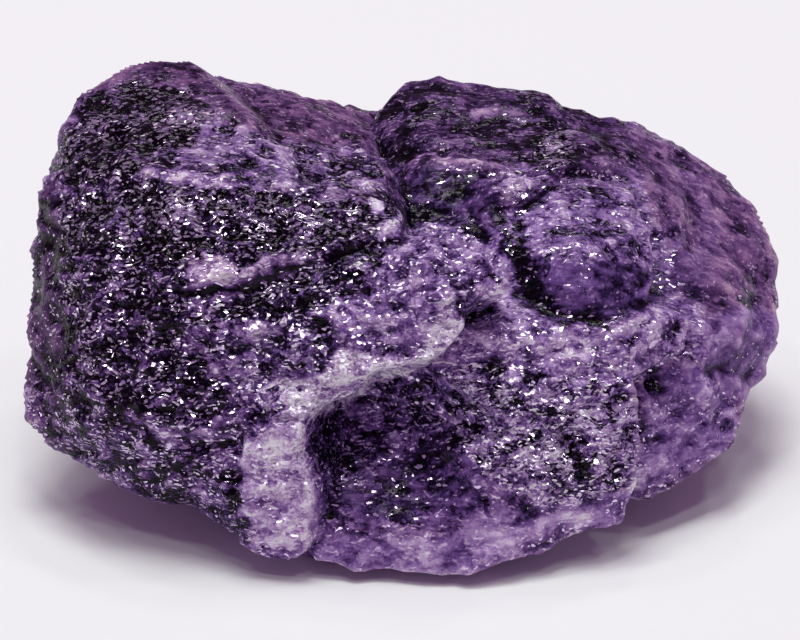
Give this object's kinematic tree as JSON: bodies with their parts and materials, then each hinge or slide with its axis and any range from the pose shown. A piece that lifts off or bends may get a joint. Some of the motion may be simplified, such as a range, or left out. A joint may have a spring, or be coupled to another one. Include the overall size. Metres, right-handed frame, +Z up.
{
  "type": "rough tanzanite",
  "caption": "Rough piece of tanzanite, purple zoisite crystal as broken, with lumps, ledges, pits and a small flat spot that it rests on.",
  "frame": {"origin": "on the table under the stone's middle, in the small flat spot that it rests on", "axes": "+X along the stone, to the right when its show side faces the viewer; +Y from the show side to the back; +Z up"},
  "size_m": [0.0384, 0.024, 0.0188],
  "materials": {
    "tanzanite": "glassy broken faces, sugary on the rims"
  },
  "bodies": {
    "root": {"rough_tanzanite": "tanzanite"}
  },
  "joints": []
}
